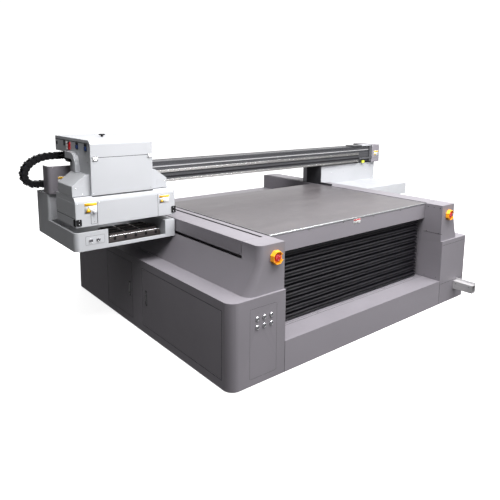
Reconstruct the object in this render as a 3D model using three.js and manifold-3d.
// Flatbed UV printer: a moving gantry over a lifting vacuum table, with the print carriage
// parked over its capping station on the left. Millimetres, +Z up, +X to the operator's right,
// +Y to the rear. The model is laid out from the front left floor corner of the base and then
// moved so that its origin is the middle of its footprint, on the floor.
import * as THREE from 'three';
import { mergeVertices } from 'three/addons/utils/BufferGeometryUtils.js';
import Module from 'manifold-3d';

const wasm = await Module();
wasm.setup();

// ---- driving dimensions -------------------------------------------------------------------
const BASE_WIDTH = 2880;
const BASE_DEPTH = 2545;
const LEDGE_HEIGHT = 614;          // top of the lower casings
const TABLE_HEIGHT = 950;          // bed, rail covers and stations are flush
const DECK_HEIGHT = 788;           // lower deck behind the bed
const SILL_HEIGHT = 236;
const FLOOR_GAP = 6;               // under the sheet casings
const SHEET = 2.5;                 // casing sheet thickness
const CLEAR = 0.5;                 // gap between neighbouring pieces
const INSIDE = SHEET + CLEAR;      // just inside a casing sheet
const LEFT_COLUMN = 475;
const RIGHT_COLUMN = 430;
const LEDGE_WIDTH = 153;
const LEDGE_TUCK = 15;             // how far the ledge runs in under the tower
const LEDGE_CORNER = 60;
const LEFT_TOWER_SIDE = 246;
const RIGHT_TOWER_SIDE = 216;
const TOWER_FRONT = 20;
const SLIT_LOW = 824;              // side slit that the gantry arms run in
const SLIT_HIGH = 848;
const LOWER_CORNER = 75;
const UPPER_CORNER = 45;
const RIGHT_CORNER = 20;
const BED = { left: 496, right: 2440, front: 200, rear: 1664, bottom: 890, skin: 8, rib: 12,
  bays: 4, lip: 11, lipDepth: 5 };
const FASCIA_BOTTOM = 805;
const BELLOWS = { left: 520, right: 2395, front: 225, rear: 268, pleats: 10, skin: 2.5 };
const SLOT = 24;                   // top slot that each gantry leg runs in
const LEG = { thick: 12, front: 1572, rear: 1792, low: 690, footFront: 1400, footLow: 760,
  footTop: 975 };                  // the foot passes under the carriage
const LEG_BLOCK = { width: 80, front: 1500, rear: 1760, low: 646, high: 700 };
const LEFT_LEG_X = 422;
const RIGHT_LEG_X = 2472;
const STATION = { outer: 574, front: 1064, rear: 1870, bottom: 811, gap: 10, rim: 16, corner: 38,
  pocketCorner: 20, armPocketRear: 1290, web: 4 };
const RIGHT_STATION = { outer: 3482, front: 1120, bottom: 805, top: 931, wall: 3 };
const NOTCH = { left: -325, right: 152, sill: 834 };
const UPRIGHT = { front: 1606, leftInner: -250, corner: 22, wall: 4, leftTop: 1154,
  rightInner: 2484, rightLow: 952, rightTop: 1145 };
const ARM = { front: 1300, rear: 1700, gap: 4 };  // through the side slit to each gantry leg
const BEAM = { left: -480, right: 3360, front: 1590, back: 1700, bottom: 1163, top: 1352, wall: 8 };
const TROUGH = { rear: 1800, bottom: 1175, top: 1345, wall: 3 };
const HOUSING = { left: -426, right: 66, front: 1094, back: 1500, rear: 1809, bottom: 1200.3,
  top: 1600, overhang: 1482, bevel: 27 };
const SKIRT = { left: -558, right: 244, front: 1070, rear: 1456, bottom: 987, shoulder: 1165,
  top: 1199.8 };
const LAMP = { front: 1120, rear: 1399, low: 1279, high: 1353, leftShoulder: -460, right: 202,
  rightShoulder: 102 };
const CHAIN = { front: 1706, rear: 1790, halfHeight: 27, upper: { x: -497, z: 1441 },
  bend: { reach: 209, rise: 141 }, lowerRadius: 78, steps: 12, fixedEnd: 1440, split: -436,
  hiddenEnd: 40 };
const FRONT_DOOR = { front: 96, rear: 1190, low: 71, high: 549 };
const REAR_DOOR = { front: 1371, rear: 1860, low: 71, high: 549 };
const DOOR_THICK = 18;
const DOOR_GAP = 1.5;
const DOOR_RIM = 15;
const HANDLE = { front: 1125, rear: 1414, width: 18, proud: 5, low: 262, high: 370 };
const SERVICE_COLUMNS = [223, 284, 346];
const SERVICE_ROWS = [468, 409];
const STATION_BUTTONS = [-458, -402];
const STATION_BUTTON_Z = 883;
const BUTTON_RADIUS = 11;
const BUTTON_PROUD = 7;
const BUTTON_BEHIND = 12;
const ESTOP_Z = 854;
const LEFT_ESTOP_X = 393;
const RIGHT_ESTOP_X = 2557;

// ---- materials ----------------------------------------------------------------------------
const paint = (color, roughness, metalness = 0) =>
  new THREE.MeshStandardMaterial({ color, roughness, metalness });
const GRAPHITE = paint(0x7d7880, 0.5);
const WHITE = paint(0xdcdde1, 0.45);
const BLACK = paint(0x17161a, 0.5);
const BLACK_METAL = paint(0x1d1d22, 0.35, 0.6);
const STEEL = paint(0xb9bcc2, 0.3, 1);
const ALUMINIUM = paint(0xa9a4a2, 0.4, 0.8);
const YELLOW = paint(0xf2a81d, 0.45);
const RED = paint(0xc21f24, 0.4);

// ---- shape helpers ------------------------------------------------------------------------
const box = (x0, x1, y0, y1, z0, z1) =>
  new THREE.BoxGeometry(x1 - x0, y1 - y0, z1 - z0)
    .translate((x0 + x1) / 2, (y0 + y1) / 2, (z0 + z1) / 2);

// A closed outline in plan, raised from z0 to z1.
const plan = (points, z0, z1) => {
  const shape = new THREE.Shape(points.map(([x, y]) => new THREE.Vector2(x, y)));
  return new THREE.ExtrudeGeometry(shape, { depth: z1 - z0, bevelEnabled: false })
    .translate(0, 0, z0);
};

// A closed outline in the YZ plane, run along X.
const alongX = (points, x0, x1) => plan(points, x0, x1)
  .applyMatrix4(new THREE.Matrix4().set(0, 0, 1, 0, 1, 0, 0, 0, 0, 1, 0, 0, 0, 0, 0, 1));

// A closed outline in the XZ plane, run along Y.
const alongY = (points, y0, y1) => plan(points, -y1, -y0).rotateX(Math.PI / 2);

const rod = (radius, y0, y1, x, z, sides = 24) =>
  new THREE.CylinderGeometry(radius, radius, y1 - y0, sides).translate(x, (y0 + y1) / 2, z);

const pillar = (radius, z0, z1, x, y, sides = 32) =>
  new THREE.CylinderGeometry(radius, radius, z1 - z0, sides).rotateX(Math.PI / 2)
    .translate(x, y, (z0 + z1) / 2);

const arc = (cx, cy, radius, from, to, steps = 8) => Array.from({ length: steps + 1 }, (_, i) => {
  const angle = from + (to - from) * i / steps;
  return [cx + radius * Math.cos(angle), cy + radius * Math.sin(angle)];
});

// A closed solid between two outlines with the same number of points.
const loft = (low, z0, high, z1) => {
  const count = low.length;
  const positions = [...low.flatMap(([x, y]) => [x, y, z0]), ...high.flatMap(([x, y]) => [x, y, z1])];
  const caps = THREE.ShapeUtils.triangulateShape(low.map(([x, y]) => new THREE.Vector2(x, y)), []);
  const turnsLeft = THREE.ShapeUtils.area(low.map(([x, y]) => new THREE.Vector2(x, y))) > 0;
  const faces = [];
  const add = (a, b, c) => (turnsLeft ? faces.push(a, b, c) : faces.push(a, c, b));
  caps.forEach(([a, b, c]) => {
    faces.push(a, c, b);
    faces.push(a + count, b + count, c + count);
  });
  for (let i = 0; i < count; i += 1) {
    const next = (i + 1) % count;
    add(i, next, next + count);
    add(i, next + count, i + count);
  }
  const geometry = new THREE.BufferGeometry();
  geometry.setAttribute('position', new THREE.Float32BufferAttribute(positions, 3));
  geometry.setIndex(faces);
  return geometry;
};

const toSolid = (geometry) => {
  const bare = geometry.clone();
  bare.deleteAttribute('normal');
  bare.deleteAttribute('uv');
  const merged = mergeVertices(bare, 1e-4);
  return new wasm.Manifold(new wasm.Mesh({
    numProp: 3,
    vertProperties: new Float32Array(merged.attributes.position.array),
    triVerts: new Uint32Array(merged.index.array),
  }));
};

const toGeometry = (solid) => {
  const mesh = solid.getMesh();
  const geometry = new THREE.BufferGeometry();
  geometry.setAttribute('position', new THREE.Float32BufferAttribute(mesh.vertProperties, 3));
  geometry.setIndex([...mesh.triVerts]);
  return geometry;
};

const join = (first, ...rest) =>
  toGeometry(rest.reduce((solid, next) => solid.add(toSolid(next)), toSolid(first)));
const cut = (first, ...rest) =>
  toGeometry(rest.reduce((solid, next) => solid.subtract(toSolid(next)), toSolid(first)));

// The same piece on the other side of the base.
const mirrored = (geometry) => {
  const copy = geometry.clone().scale(-1, 1, 1).translate(BASE_WIDTH, 0, 0);
  const index = copy.index.array;
  for (let i = 0; i < index.length; i += 3) {
    [index[i + 1], index[i + 2]] = [index[i + 2], index[i + 1]];
  }
  return copy;
};

const printer = new THREE.Group();
const add = (name, geometry, material) => {
  const mesh = new THREE.Mesh(geometry, material);
  mesh.name = name;
  printer.add(mesh);
};

// ---- base frame, feet and linear rails ----------------------------------------------------
const FRAME = { low: 30, bar: 90, wall: 8, front: 60, rear: 2480, side: 100 };
const POST = { width: 80, rows: [60, 1230, 2400] };
const RAIL_BEAM = { low: 519, high: 619, width: 80 };
const RAIL = { columns: [380, 2512], width: 30, front: 220, rear: 2460, top: 645 };
const CROSS_BARS = [280, 887, 2390];
const LIFT = { x: 1468, y: 932, sleeve: 75, bore: 53, column: 50, sleeveTop: 600, columnLow: 330 };
const FOOT_RADIUS = 40;
const FOOT_PLACES = [[150, 325], [2730, 325], [150, 2435], [2730, 2435]];

// Folded channel, its open side towards the middle of the base.
const sideChannel = (x, y0, y1, z0, z1) => {
  const inward = Math.sign(BASE_WIDTH / 2 - x) * FRAME.wall;
  const low = x - RAIL_BEAM.width / 2;
  const high = x + RAIL_BEAM.width / 2;
  return cut(box(low, high, y0, y1, z0, z1), box(low + inward, high + inward,
    y0 + FRAME.wall, y1 - FRAME.wall, z0 + FRAME.wall, z1 - FRAME.wall));
};
const frameTop = FRAME.low + FRAME.bar;
const frameBars = RAIL.columns.flatMap((x) => [
  sideChannel(x, FRAME.front, FRAME.rear, RAIL_BEAM.low, RAIL_BEAM.high),
  sideChannel(x, FRAME.front, FRAME.rear, FRAME.low, frameTop),
  ...POST.rows.map((y) => sideChannel(x, y, y + POST.width, frameTop - 1, RAIL_BEAM.low + 1)),
]);
const crossBars = CROSS_BARS.map((y) => cut(
  box(FRAME.side, BASE_WIDTH - FRAME.side, y, y + FRAME.bar, FRAME.low, frameTop),
  box(FRAME.side - 1, BASE_WIDTH - FRAME.side + 1, y + FRAME.wall, y + FRAME.bar - FRAME.wall,
    frameTop - FRAME.bar - 1, frameTop - FRAME.wall),
));
const footPads = FOOT_PLACES.map(([x, y]) =>
  pillar(FOOT_RADIUS, FRAME.low, FRAME.low + FRAME.bar / 2, x, y));
const liftSleeve = pillar(LIFT.sleeve, FRAME.low, LIFT.sleeveTop, LIFT.x, LIFT.y);
const liftBore = pillar(LIFT.bore, 0, LIFT.sleeveTop + 1, LIFT.x, LIFT.y);
add('base_frame', cut(join(liftSleeve, ...frameBars, ...crossBars, ...footPads), liftBore),
  BLACK_METAL);

FOOT_PLACES.forEach(([x, y], i) =>
  add(`levelling_foot_${i + 1}`, pillar(FOOT_RADIUS, 0, FRAME.low - CLEAR, x, y), BLACK));

['left_linear_rail', 'right_linear_rail'].forEach((name, i) =>
  add(name, box(RAIL.columns[i] - RAIL.width / 2, RAIL.columns[i] + RAIL.width / 2,
    RAIL.front, RAIL.rear, RAIL_BEAM.high + CLEAR, RAIL.top), STEEL));

// ---- sheet casings of the base ------------------------------------------------------------
// The plan line of a casing: down the side, round the front corner, along the front.
const wrap = (side, front, radius, inner, rear) => [
  [side, rear], ...arc(side + radius, front + radius, radius, Math.PI, 1.5 * Math.PI), [inner, front],
];
const wall = (side, front, radius, inner, rear) => [
  ...wrap(side, front, radius, inner, rear),
  ...wrap(side + SHEET, front + SHEET, radius - SHEET, inner, rear).reverse(),
];
const CASING_REAR = BASE_DEPTH - INSIDE;

const lowerCasing = (column, radius) => join(
  plan(wall(0, 0, radius, column, CASING_REAR), FLOOR_GAP, LEDGE_HEIGHT),
  plan([
    ...wrap(0, 0, radius, column, CASING_REAR),
    [column, TOWER_FRONT + LEDGE_TUCK], [LEDGE_WIDTH + LEDGE_CORNER, TOWER_FRONT + LEDGE_TUCK],
    [LEDGE_WIDTH + LEDGE_TUCK, TOWER_FRONT + LEDGE_CORNER],
    [LEDGE_WIDTH + LEDGE_TUCK, CASING_REAR],
  ], LEDGE_HEIGHT - SHEET, LEDGE_HEIGHT),
  box(column - SHEET, column, 0, TOWER_FRONT + LEDGE_TUCK, FLOOR_GAP, LEDGE_HEIGHT),
);
const doorway = (door) => box(-5, 10, door.front, door.rear, door.low, door.high);
const serviceHoles = SERVICE_COLUMNS.flatMap((x) =>
  SERVICE_ROWS.map((z) => rod(BUTTON_RADIUS + 1, -5, 10, x, z)));
add('left_lower_casing', cut(lowerCasing(LEFT_COLUMN, LOWER_CORNER),
  doorway(FRONT_DOOR), doorway(REAR_DOOR), ...serviceHoles), GRAPHITE);
add('right_lower_casing', mirrored(lowerCasing(RIGHT_COLUMN, RIGHT_CORNER)), GRAPHITE);

const upperCasing = (side, column, lowRadius, highRadius) => {
  const low = wall(LEDGE_WIDTH, TOWER_FRONT, lowRadius, column, CASING_REAR);
  const high = wall(side, TOWER_FRONT, highRadius, column, CASING_REAR);
  const head = wall(side, TOWER_FRONT, highRadius, column, BED.front);
  const lid = [...wrap(side, TOWER_FRONT, highRadius, column, BED.front), [column, BED.front]];
  return join(
    loft(low, LEDGE_HEIGHT + CLEAR, high, SLIT_LOW),
    plan(head, SLIT_LOW - 1, TABLE_HEIGHT),
    plan(lid, TABLE_HEIGHT - SHEET, TABLE_HEIGHT),
    box(column - SHEET, column, TOWER_FRONT, BED.front, LEDGE_HEIGHT + CLEAR, TABLE_HEIGHT),
  );
};
add('left_upper_casing',
  upperCasing(LEFT_TOWER_SIDE, LEFT_COLUMN, LOWER_CORNER, UPPER_CORNER), GRAPHITE);
add('right_upper_casing',
  mirrored(upperCasing(RIGHT_TOWER_SIDE, RIGHT_COLUMN, RIGHT_CORNER, RIGHT_CORNER)), GRAPHITE);

// The long covers over the gantry rails: a top strip with a turned-down outer side.
const railCover = (side, slotEdge) => join(
  box(side, slotEdge, BED.front + 4, CASING_REAR, TABLE_HEIGHT - SHEET, TABLE_HEIGHT),
  box(side, side + SHEET, BED.front + 4, CASING_REAR, SLIT_HIGH, TABLE_HEIGHT),
);
add('left_rail_cover', railCover(LEFT_TOWER_SIDE, LEFT_LEG_X - SLOT / 2), GRAPHITE);
add('right_rail_cover',
  mirrored(railCover(RIGHT_TOWER_SIDE, BASE_WIDTH - RIGHT_LEG_X - SLOT / 2)), GRAPHITE);

// The inner walls beside the table, each with a strip along the leg slot. They reach the front
// of the lower casing and stop at the front of the tower above it.
const innerPanel = (column, slotEdge) => join(
  box(column + CLEAR, column + INSIDE, INSIDE, CASING_REAR, SILL_HEIGHT + INSIDE, LEDGE_HEIGHT),
  box(column + CLEAR, column + INSIDE, TOWER_FRONT, CASING_REAR, LEDGE_HEIGHT - 1, TABLE_HEIGHT),
  box(slotEdge, column + INSIDE, BED.front + 4, CASING_REAR,
    TABLE_HEIGHT - SHEET, TABLE_HEIGHT),
);
add('left_inner_panel', innerPanel(LEFT_COLUMN, LEFT_LEG_X + SLOT / 2), GRAPHITE);
add('right_inner_panel',
  mirrored(innerPanel(RIGHT_COLUMN, BASE_WIDTH - RIGHT_LEG_X + SLOT / 2)), GRAPHITE);

const SILL_ENDS = [LEFT_COLUMN + CLEAR, BASE_WIDTH - RIGHT_COLUMN - CLEAR];
add('front_sill', join(
  box(...SILL_ENDS, 0, SHEET, FLOOR_GAP, SILL_HEIGHT),
  box(...SILL_ENDS, 0, BELLOWS.rear + 10, SILL_HEIGHT - SHEET, SILL_HEIGHT),
), GRAPHITE);

// The back wall closes both towers and carries the low deck behind the table.
const rightTower = BASE_WIDTH - RIGHT_TOWER_SIDE;
const wallShoulder = LEDGE_HEIGHT - INSIDE;
const wallTop = TABLE_HEIGHT - INSIDE;
const deckEnds = [SILL_ENDS[0] + INSIDE, SILL_ENDS[1] - INSIDE];
const DECK_GAP = 26;               // between the table and the deck
const backWall = [
  [INSIDE, FLOOR_GAP], [BASE_WIDTH - INSIDE, FLOOR_GAP], [BASE_WIDTH - INSIDE, wallShoulder],
  [BASE_WIDTH - LEDGE_WIDTH, wallShoulder], [rightTower, SLIT_LOW], [rightTower, wallTop],
  [deckEnds[1], wallTop], [deckEnds[1], DECK_HEIGHT], [deckEnds[0], DECK_HEIGHT],
  [deckEnds[0], wallTop], [LEFT_TOWER_SIDE, wallTop], [LEFT_TOWER_SIDE, SLIT_LOW],
  [LEDGE_WIDTH, wallShoulder], [INSIDE, wallShoulder],
];
add('rear_casing', join(
  alongY(backWall, BASE_DEPTH - SHEET, BASE_DEPTH),
  box(...deckEnds, BED.rear + DECK_GAP, BASE_DEPTH,
    DECK_HEIGHT - SHEET, DECK_HEIGHT),
), GRAPHITE);

// ---- cabinet doors with their paddle handles ----------------------------------------------
const doorLeaf = (door) => {
  const extents = (inset) => [door.front + inset, door.rear - inset, door.low + inset,
    door.high - inset];
  return cut(box(0, DOOR_THICK, ...extents(DOOR_GAP)),
    box(SHEET, DOOR_THICK + 1, ...extents(DOOR_GAP + DOOR_RIM)));
};
const doorHandle = (y) => box(-HANDLE.proud, -CLEAR, y - HANDLE.width / 2, y + HANDLE.width / 2,
  HANDLE.low, HANDLE.high);
add('front_door', doorLeaf(FRONT_DOOR), GRAPHITE);
add('rear_door', doorLeaf(REAR_DOOR), GRAPHITE);
add('front_door_handle', doorHandle(HANDLE.front), STEEL);
add('rear_door_handle', doorHandle(HANDLE.rear), STEEL);

// ---- operator controls --------------------------------------------------------------------
const ESTOP = { guard: 52, face: -12, well: 38, floor: 14, bore: 13, head: 26, headFront: -9,
  headRear: 5, stem: 11, stemRear: 12, notch: 18, notchRear: 8 };
const estopGuard = (x) => cut(
  rod(ESTOP.guard, ESTOP.face, TOWER_FRONT - CLEAR, x, ESTOP_Z, 8),
  rod(ESTOP.well, ESTOP.face - 1, ESTOP.floor, x, ESTOP_Z, 32),
  rod(ESTOP.bore, 0, TOWER_FRONT + 1, x, ESTOP_Z),
  box(x, x + ESTOP.guard + 1, ESTOP.face - 1, ESTOP.notchRear,
    ESTOP_Z - ESTOP.notch, ESTOP_Z + ESTOP.notch),
);
const estopButton = (x) => join(
  rod(ESTOP.head, ESTOP.headFront, ESTOP.headRear, x, ESTOP_Z, 32),
  rod(ESTOP.stem, ESTOP.headRear - 1, ESTOP.stemRear, x, ESTOP_Z),
);
add('left_estop_guard', estopGuard(LEFT_ESTOP_X), YELLOW);
add('right_estop_guard', estopGuard(RIGHT_ESTOP_X), YELLOW);
add('left_estop_button', estopButton(LEFT_ESTOP_X), RED);
add('right_estop_button', estopButton(RIGHT_ESTOP_X), RED);
SERVICE_ROWS.forEach((z, row) => SERVICE_COLUMNS.forEach((x, column) =>
  add(`service_button_${row * SERVICE_COLUMNS.length + column + 1}`,
    rod(BUTTON_RADIUS, -BUTTON_PROUD, BUTTON_BEHIND, x, z), STEEL)));

// ---- stainless cable channel at the front right -------------------------------------------
const CHANNEL = { left: 2690, right: 2750, front: -195, low: 110, top: 187, flange: 208,
  wall: 3 };
add('cable_channel', cut(
  box(CHANNEL.left, CHANNEL.right, CHANNEL.front, -CLEAR, CHANNEL.low, CHANNEL.flange),
  box(CHANNEL.left + CHANNEL.wall, CHANNEL.right - CHANNEL.wall, CHANNEL.front - 1, 1,
    CHANNEL.low + CHANNEL.wall, CHANNEL.top - CHANNEL.wall),
  box(CHANNEL.left - 1, CHANNEL.right - CHANNEL.wall, CHANNEL.front - 1, 1,
    CHANNEL.top, CHANNEL.flange + 1),
), STEEL);

// ---- lifting vacuum table -----------------------------------------------------------------
// The bed is a ribbed plate; the lift column stands under the crossing of its middle ribs.
const FASCIA_THICK = 3;
const bedBody = BED.front + FASCIA_THICK + CLEAR;
const bayWidth = (BED.right - BED.left - BED.rib) / BED.bays;
const bayDepth = (BED.rear - bedBody - BED.rib) / BED.bays;
const bedBays = Array.from({ length: BED.bays ** 2 }, (_, i) => {
  const x = BED.left + bayWidth * (i % BED.bays);
  const y = bedBody + bayDepth * Math.floor(i / BED.bays);
  return box(x + BED.rib, x + bayWidth, y + BED.rib, y + bayDepth,
    BED.bottom - 1, TABLE_HEIGHT - BED.skin);
});
add('bed_plate', cut(join(
  box(BED.left, BED.right, bedBody, BED.rear, BED.bottom, TABLE_HEIGHT),
  box(BED.left, BED.right, BED.front, BED.front + BED.lipDepth,
    TABLE_HEIGHT - BED.lip, TABLE_HEIGHT),
), ...bedBays), ALUMINIUM);
add('front_fascia', box(BED.left - 14, BED.right + 4, BED.front, BED.front + FASCIA_THICK,
  FASCIA_BOTTOM, TABLE_HEIGHT - BED.lip - CLEAR), GRAPHITE);
add('lift_column', cut(
  pillar(LIFT.column, LIFT.columnLow, BED.bottom - CLEAR, LIFT.x, LIFT.y),
  pillar(LIFT.column - FRAME.wall, LIFT.columnLow - 1, BED.bottom - FRAME.wall, LIFT.x, LIFT.y),
), STEEL);

// Bellows: a zigzag skin that closes the front between the sill and the fascia.
const pleatRise = (FASCIA_BOTTOM - 2 - SILL_HEIGHT - INSIDE) / (BELLOWS.pleats * 2);
const pleatLine = (offset) => Array.from({ length: BELLOWS.pleats * 2 + 1 }, (_, i) => [
  (i % 2 ? BELLOWS.front : BELLOWS.rear - BELLOWS.skin * 2) + offset,
  SILL_HEIGHT + INSIDE + i * pleatRise,
]);
add('bellows', alongX([...pleatLine(0), ...pleatLine(BELLOWS.skin * 2).reverse()],
  BELLOWS.left, BELLOWS.right), BLACK);

// ---- gantry -------------------------------------------------------------------------------
add('gantry_beam', join(
  cut(box(BEAM.left, BEAM.right, BEAM.front, BEAM.back, BEAM.bottom, BEAM.top),
    box(BEAM.left - 5, BEAM.right + 5, BEAM.front + BEAM.wall, BEAM.back - BEAM.wall,
      BEAM.bottom + BEAM.wall, BEAM.top - BEAM.wall)),
  cut(box(BEAM.left, BEAM.right, BEAM.back - 1, TROUGH.rear, TROUGH.bottom, TROUGH.top),
    box(BEAM.left - 5, BEAM.right + 5, BEAM.back, TROUGH.rear - TROUGH.wall,
      TROUGH.bottom + TROUGH.wall, TROUGH.top + 5)),
), BLACK_METAL);
const BEAM_RAIL = { left: -330, right: 3140, depth: 15, upper: [1250, 1274], lower: [1165, 1187] };
const beamRail = (z0, z1) => box(BEAM_RAIL.left, BEAM_RAIL.right,
  BEAM.front - BEAM_RAIL.depth - CLEAR, BEAM.front - CLEAR, z0, z1);
add('upper_beam_rail', beamRail(...BEAM_RAIL.upper), STEEL);
add('lower_beam_rail', beamRail(...BEAM_RAIL.lower), STEEL);

// A plate standing on its bearing block, which lies towards the outside.
const leg = (x, outward) => join(
  box(x - LEG.thick / 2, x + LEG.thick / 2, LEG.front, LEG.rear, LEG.low, BEAM.bottom - CLEAR),
  box(x - LEG.thick / 2, x + LEG.thick / 2, LEG.footFront, LEG.rear, LEG.footLow, LEG.footTop),
  box(x + Math.min(-LEG.thick / 2, outward), x + Math.max(LEG.thick / 2, outward),
    LEG_BLOCK.front, LEG_BLOCK.rear, LEG_BLOCK.low, LEG_BLOCK.high),
);
add('left_gantry_leg', leg(LEFT_LEG_X, -LEG_BLOCK.width), BLACK_METAL);
add('right_gantry_leg', leg(RIGHT_LEG_X, LEG_BLOCK.width), BLACK_METAL);

const stationOuter = -STATION.outer;
const stationInner = LEFT_TOWER_SIDE - STATION.gap;
const roundedFront = (left, right, front, rear, radius) => [
  [left, rear], ...arc(left + radius, front + radius, radius, Math.PI, 1.5 * Math.PI),
  [right, front], [right, rear],
];
const trayPocket = [
  [stationOuter + STATION.rim, STATION.rear - STATION.rim],
  [stationOuter + STATION.rim, STATION.front + STATION.rim + STATION.pocketCorner],
  [stationOuter + STATION.rim + STATION.pocketCorner, STATION.front + STATION.rim],
  [NOTCH.right, STATION.front + STATION.rim], [NOTCH.right, STATION.rear - STATION.rim],
];
const stationHoles = STATION_BUTTONS.map((x) =>
  rod(BUTTON_RADIUS + 1, STATION.front - 5, STATION.front + 30, x, STATION_BUTTON_Z));
add('left_station_casing', cut(
  join(
    plan(roundedFront(stationOuter, stationInner, STATION.front, STATION.rear, STATION.corner),
      STATION.bottom, TABLE_HEIGHT - 2),
    plan(roundedFront(stationOuter, UPRIGHT.leftInner, UPRIGHT.front, STATION.rear,
      UPRIGHT.corner), TABLE_HEIGHT - 10, UPRIGHT.leftTop),
    box(stationInner - STATION.rim, LEFT_LEG_X - LEG.thick, ARM.front, ARM.rear,
      SLIT_LOW + ARM.gap, SLIT_HIGH - ARM.gap),
  ),
  plan(trayPocket, STATION.bottom + 5, TABLE_HEIGHT - 1.9),
  plan(roundedFront(stationOuter + UPRIGHT.wall, UPRIGHT.leftInner - UPRIGHT.wall,
    UPRIGHT.front + UPRIGHT.wall, STATION.rear - UPRIGHT.wall, UPRIGHT.corner - UPRIGHT.wall),
  TABLE_HEIGHT - 20, UPRIGHT.leftTop + 1),
  box(NOTCH.right + STATION.web, stationInner - STATION.web, STATION.front + STATION.web,
    STATION.armPocketRear, STATION.bottom - 5, TABLE_HEIGHT - STATION.web - 2),
  box(NOTCH.left, NOTCH.right, STATION.front - 5, STATION.front + STATION.rim + 5,
    NOTCH.sill, TABLE_HEIGHT + 5),
  ...stationHoles,
), WHITE);
STATION_BUTTONS.forEach((x, i) => add(`station_button_${i + 1}`,
  rod(BUTTON_RADIUS, STATION.front - BUTTON_PROUD, STATION.front + BUTTON_BEHIND, x,
    STATION_BUTTON_Z), STEEL));

// Capping and wiping unit that rises to the print heads.
const CAPPING = { left: -300, right: 130, front: 1110, rear: 1400, low: 822, tray: 866, top: 890,
  caps: [1140, 1225, 1310], capDepth: 55, capInset: 20 };
add('capping_unit', join(
  box(CAPPING.left, CAPPING.right, CAPPING.front, CAPPING.rear, CAPPING.low, CAPPING.tray),
  ...CAPPING.caps.map((y) => box(CAPPING.left + CAPPING.capInset, CAPPING.right - CAPPING.capInset,
    y, y + CAPPING.capDepth, CAPPING.tray - 1, CAPPING.top)),
), BLACK_METAL);

// The right station is open below; its upright panel reaches over the rail cover to the leg.
const rightInner = BASE_WIDTH - RIGHT_TOWER_SIDE + STATION.gap;
const { wall: skin } = RIGHT_STATION;
add('right_station_casing', cut(
  join(
    box(rightInner, RIGHT_STATION.outer, RIGHT_STATION.front, STATION.rear,
      RIGHT_STATION.bottom, RIGHT_STATION.top),
    box(rightInner, RIGHT_STATION.outer, UPRIGHT.front, STATION.rear,
      RIGHT_STATION.top - 1, UPRIGHT.rightTop),
    box(UPRIGHT.rightInner, rightInner + 1, UPRIGHT.front, STATION.rear,
      UPRIGHT.rightLow, UPRIGHT.rightTop),
  ),
  box(rightInner + skin, RIGHT_STATION.outer - skin, RIGHT_STATION.front + skin,
    STATION.rear - skin, RIGHT_STATION.bottom - 1, RIGHT_STATION.top - skin),
  box(rightInner + skin, RIGHT_STATION.outer - skin, UPRIGHT.front + skin,
    STATION.rear - skin, RIGHT_STATION.top - skin - 1, UPRIGHT.rightTop - skin),
  box(UPRIGHT.rightInner + skin, rightInner + skin + 1, UPRIGHT.front + skin,
    STATION.rear - skin, UPRIGHT.rightLow + skin, UPRIGHT.rightTop - skin),
  box(rightInner - 1, rightInner + STATION.gap, ARM.front, ARM.rear,
    SLIT_LOW + ARM.gap, SLIT_HIGH - ARM.gap),
), WHITE);

const END_COVER = { left: -571, right: -340, front: 1571, low: 1160, high: 1376, corner: 35 };
const RIGHT_END = { left: 3384, right: 3530, low: 1148, high: 1360 };
const endOutline = (inset) => [
  [END_COVER.left + inset, BEAM.back],
  ...arc(END_COVER.left + END_COVER.corner, END_COVER.front + END_COVER.corner,
    END_COVER.corner - inset, Math.PI, 1.5 * Math.PI),
  [END_COVER.right, END_COVER.front + inset],
];
add('left_end_cover', join(
  plan([...endOutline(0), ...endOutline(SHEET).reverse()], END_COVER.low, END_COVER.high),
  plan([...endOutline(0), [END_COVER.right, BEAM.front - CLEAR],
    [BEAM.left - CLEAR, BEAM.front - CLEAR], [BEAM.left - CLEAR, BEAM.back]],
  END_COVER.low, END_COVER.low + SHEET),
), GRAPHITE);
add('right_end_cover', cut(
  box(RIGHT_END.left, RIGHT_END.right, END_COVER.front, STATION.rear, RIGHT_END.low, RIGHT_END.high),
  box(RIGHT_END.left - 1, RIGHT_END.right - SHEET, END_COVER.front + SHEET, STATION.rear - SHEET,
    RIGHT_END.low + SHEET, RIGHT_END.high - SHEET),
), GRAPHITE);

// ---- print carriage -----------------------------------------------------------------------
const housingOutline = (inset) => [
  [HOUSING.front + inset, HOUSING.bottom - (inset ? 5 : 0)],
  [HOUSING.front + inset, HOUSING.top - HOUSING.bevel],
  [HOUSING.front + HOUSING.bevel, HOUSING.top - inset],
  [HOUSING.rear - inset, HOUSING.top - inset], [HOUSING.rear - inset, HOUSING.overhang + inset],
  [HOUSING.back - inset, HOUSING.overhang + inset],
  [HOUSING.back - inset, HOUSING.bottom - (inset ? 5 : 0)],
];
add('carriage_housing', cut(
  alongX(housingOutline(0), HOUSING.left, HOUSING.right),
  alongX(housingOutline(SHEET), HOUSING.left + SHEET, HOUSING.right - SHEET),
), WHITE);
const skirtOutline = (inset) => [
  [SKIRT.front + inset, SKIRT.bottom - (inset ? 5 : 0)], [SKIRT.front + inset, SKIRT.shoulder],
  [HOUSING.front + inset / 2, SKIRT.top - inset], [SKIRT.rear - inset, SKIRT.top - inset],
  [SKIRT.rear - inset, SKIRT.bottom - (inset ? 5 : 0)],
];
add('carriage_skirt', cut(
  alongX(skirtOutline(0), SKIRT.left, SKIRT.right),
  alongX(skirtOutline(3), SKIRT.left + 3, SKIRT.right - 3),
), WHITE);
const lampShell = (outer, inner, shoulder) => cut(
  alongY([[outer, HOUSING.bottom], [outer, LAMP.low], [shoulder, LAMP.high], [inner, LAMP.high],
    [inner, HOUSING.bottom]], LAMP.front, LAMP.rear),
  box(Math.min(outer, inner) + SHEET, Math.max(outer, inner) - SHEET, LAMP.front + SHEET,
    LAMP.rear - SHEET, HOUSING.bottom - 1, LAMP.low - SHEET),
);
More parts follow.
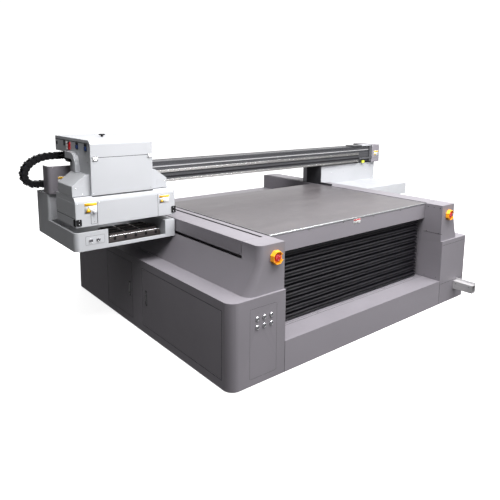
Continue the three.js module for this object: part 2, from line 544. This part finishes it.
add('left_lamp_housing',
  lampShell(SKIRT.left, HOUSING.left - CLEAR, LAMP.leftShoulder), WHITE);
add('right_lamp_housing',
  lampShell(LAMP.right, HOUSING.right + CLEAR, LAMP.rightShoulder), WHITE);

// Back plate with the bearing blocks that run on the beam rails.
const PLATE = { left: -390, right: 30, front: 1502, rear: 1520, low: 1010, high: 1478 };
const BEARING = { columns: [-320, -70], rows: [1163, 1248], width: 90, height: 28, rear: 1573 };
add('carriage_plate', join(
  box(PLATE.left, PLATE.right, PLATE.front, PLATE.rear, PLATE.low, PLATE.high),
  ...BEARING.rows.flatMap((z) => BEARING.columns.map((x) =>
    box(x, x + BEARING.width, PLATE.rear - 1, BEARING.rear, z, z + BEARING.height))),
), BLACK_METAL);

// The print heads under their mounting box, which is open at the top.
const HEADS = { left: -300, right: -20, front: 1150, rear: 1420, low: 992, high: 1190, wall: 6,
  floor: 60 };
add('print_head_block', cut(
  box(HEADS.left, HEADS.right, HEADS.front, HEADS.rear, HEADS.low, HEADS.high),
  box(HEADS.left + HEADS.wall, HEADS.right - HEADS.wall, HEADS.front + HEADS.wall,
    HEADS.rear - HEADS.wall, HEADS.low + HEADS.floor, HEADS.high + 1),
), BLACK_METAL);

// Inverted L duct on the left side, where the cables leave the chain.
const DUCT = { rear: 1500, low: 1356, width: 38, outer: { y: 1390, z: 1404, radius: 94 },
  inner: { y: 1384, z: 1404, radius: 44 } };
const ductLine = ({ y, z, radius }) => [
  [DUCT.rear, z + radius], ...arc(y, z, radius, 0.5 * Math.PI, Math.PI, 6), [y - radius, DUCT.low],
];
add('cable_duct', alongX([...ductLine(DUCT.outer), ...ductLine(DUCT.inner).reverse()],
  HOUSING.left - DUCT.width, HOUSING.left - CLEAR), WHITE);

const LATCH = { left: -412, right: 24, width: 40, proud: 9, low: 1452, high: 1480 };
const latch = (x) => box(x, x + LATCH.width, HOUSING.front - LATCH.proud, HOUSING.front - CLEAR,
  LATCH.low, LATCH.high);
add('left_cover_latch', latch(LATCH.left), STEEL);
add('right_cover_latch', latch(LATCH.right), STEEL);

const KNOB = { x: -190, y: 1430, neck: 9, head: 24, headLow: 10, height: 24 };
add('cover_knob', join(
  pillar(KNOB.neck, HOUSING.top + CLEAR, HOUSING.top + KNOB.headLow + 1, KNOB.x, KNOB.y, 24),
  pillar(KNOB.head, HOUSING.top + KNOB.headLow, HOUSING.top + KNOB.height, KNOB.x, KNOB.y, 24),
), BLACK);

// ---- drag chain ---------------------------------------------------------------------------
// The centre line: along the top, round a sagging bend and back along the trough.
const { upper, bend, lowerRadius, halfHeight } = CHAIN;
const bendZ = upper.z - bend.rise;
const turnX = upper.x - bend.reach + lowerRadius;
const quarter = 0.5 * Math.PI;
const bendSteps = Array.from({ length: CHAIN.steps }, (_, i) => quarter * (i + 1) / CHAIN.steps);
const centreLine = [
  [CHAIN.split, upper.z, 0, 1], [upper.x, upper.z, 0, 1],
  ...bendSteps.map((a) => {
    const [nx, nz] = [-Math.sin(a) * bend.rise, Math.cos(a) * bend.reach];
    const size = Math.hypot(nx, nz);
    return [upper.x - bend.reach * Math.sin(a), bendZ + bend.rise * Math.cos(a),
      nx / size, nz / size];
  }),
  ...bendSteps.map((a) => [turnX - lowerRadius * Math.cos(a), bendZ - lowerRadius * Math.sin(a),
    -Math.cos(a), -Math.sin(a)]),
  [CHAIN.fixedEnd, bendZ - lowerRadius, 0, -1],
];
const chainSide = (offset) => centreLine.map(([x, z, nx, nz]) => [x + nx * offset, z + nz * offset]);
add('drag_chain', alongY([...chainSide(halfHeight), ...chainSide(-halfHeight).reverse()],
  CHAIN.front, CHAIN.rear), BLACK);
add('drag_chain_end', box(CHAIN.split + CLEAR, CHAIN.hiddenEnd, CHAIN.front, CHAIN.rear,
  upper.z - halfHeight, upper.z + halfHeight), BLACK);

// ---- origin: middle of the footprint, on the floor ----------------------------------------
const bounds = new THREE.Box3().setFromObject(printer);
const middle = bounds.getCenter(new THREE.Vector3());
printer.position.set(-middle.x, -middle.y, -bounds.min.z);

export default printer;
